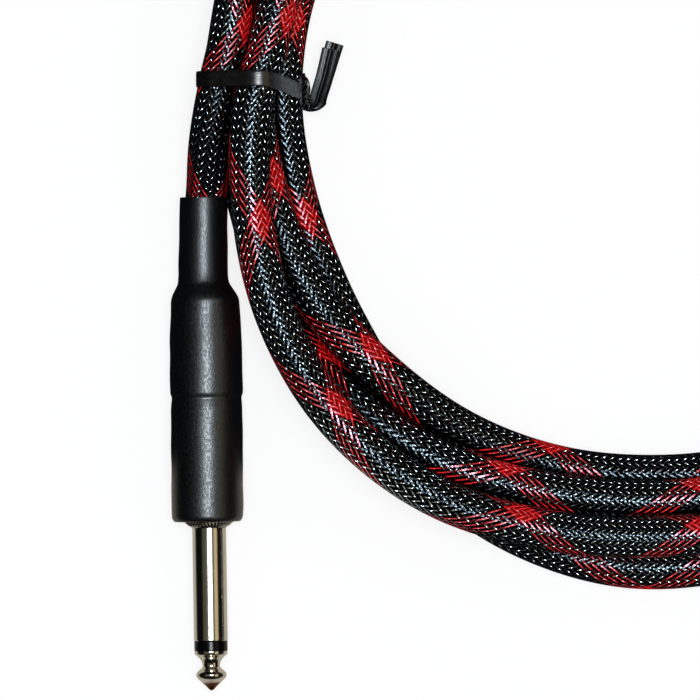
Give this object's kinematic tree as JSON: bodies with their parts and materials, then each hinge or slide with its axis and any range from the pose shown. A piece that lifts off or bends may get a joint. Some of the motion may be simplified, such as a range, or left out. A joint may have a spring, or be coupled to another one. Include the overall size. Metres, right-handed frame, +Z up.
{
  "type": "instrument cable",
  "caption": "Coiled instrument cable in a black and red braided sleeve, with a straight mono jack plug in a heat-shrunk boot at each end, held by a twist tie.",
  "frame": {"origin": "on the surface that the cable lies on, midway between the two plugs and midway along their length", "axes": "+Z up from that surface; both plugs point towards -Y with a slight lean inwards; the coil lies towards +Y; plug A and the tie are on the -X side"},
  "size_m": [0.1838, 0.2015, 0.0214],
  "materials": {
    "braided_sleeve": "braided monofilament, black with red tracer bands",
    "boot_polyolefin": "satin heat-shrink",
    "nickel_plate": "bright nickel plate",
    "black_insulator": "black insulating ring",
    "tie_plastic": "black plastic over wire",
    "white_insulator": "natural insulation",
    "liner_plastic": "clear plastic tube",
    "lug_brass": "tinned brass sheet",
    "washer_fibre": "red-brown fibre",
    "jacket_rubber": "black rubber",
    "copper_wire": "bare copper",
    "solder": "soft solder"
  },
  "bodies": {
    "root": {"cable_coil": "braided_sleeve", "cable_lead_a": "braided_sleeve", "cable_lead_b": "braided_sleeve", "twist_tie": "tie_plastic", "plug_a_boot": "boot_polyolefin", "plug_a_collar": "nickel_plate", "plug_a_sleeve": "nickel_plate", "plug_a_tip_ring": "black_insulator", "plug_a_tip": "nickel_plate", "plug_a_shell": "nickel_plate", "plug_a_liner": "liner_plastic", "plug_a_rod_insulator": "white_insulator", "plug_a_ground_lug": "lug_brass", "plug_a_rear_washer": "washer_fibre", "plug_a_tip_lug": "lug_brass", "plug_a_braid_end": "braided_sleeve", "plug_a_jacket_end": "jacket_rubber", "plug_a_shield_end": "copper_wire", "plug_a_dielectric_end": "white_insulator", "plug_a_core_end": "copper_wire", "plug_a_shield_tail": "copper_wire", "plug_a_solder": "solder", "plug_b_boot": "boot_polyolefin", "plug_b_collar": "nickel_plate", "plug_b_sleeve": "nickel_plate", "plug_b_tip_ring": "black_insulator", "plug_b_tip": "nickel_plate", "plug_b_shell": "nickel_plate", "plug_b_liner": "liner_plastic", "plug_b_rod_insulator": "white_insulator", "plug_b_ground_lug": "lug_brass", "plug_b_rear_washer": "washer_fibre", "plug_b_tip_lug": "lug_brass", "plug_b_braid_end": "braided_sleeve", "plug_b_jacket_end": "jacket_rubber", "plug_b_shield_end": "copper_wire", "plug_b_dielectric_end": "white_insulator", "plug_b_core_end": "copper_wire", "plug_b_shield_tail": "copper_wire", "plug_b_solder": "solder"}
  },
  "joints": []
}
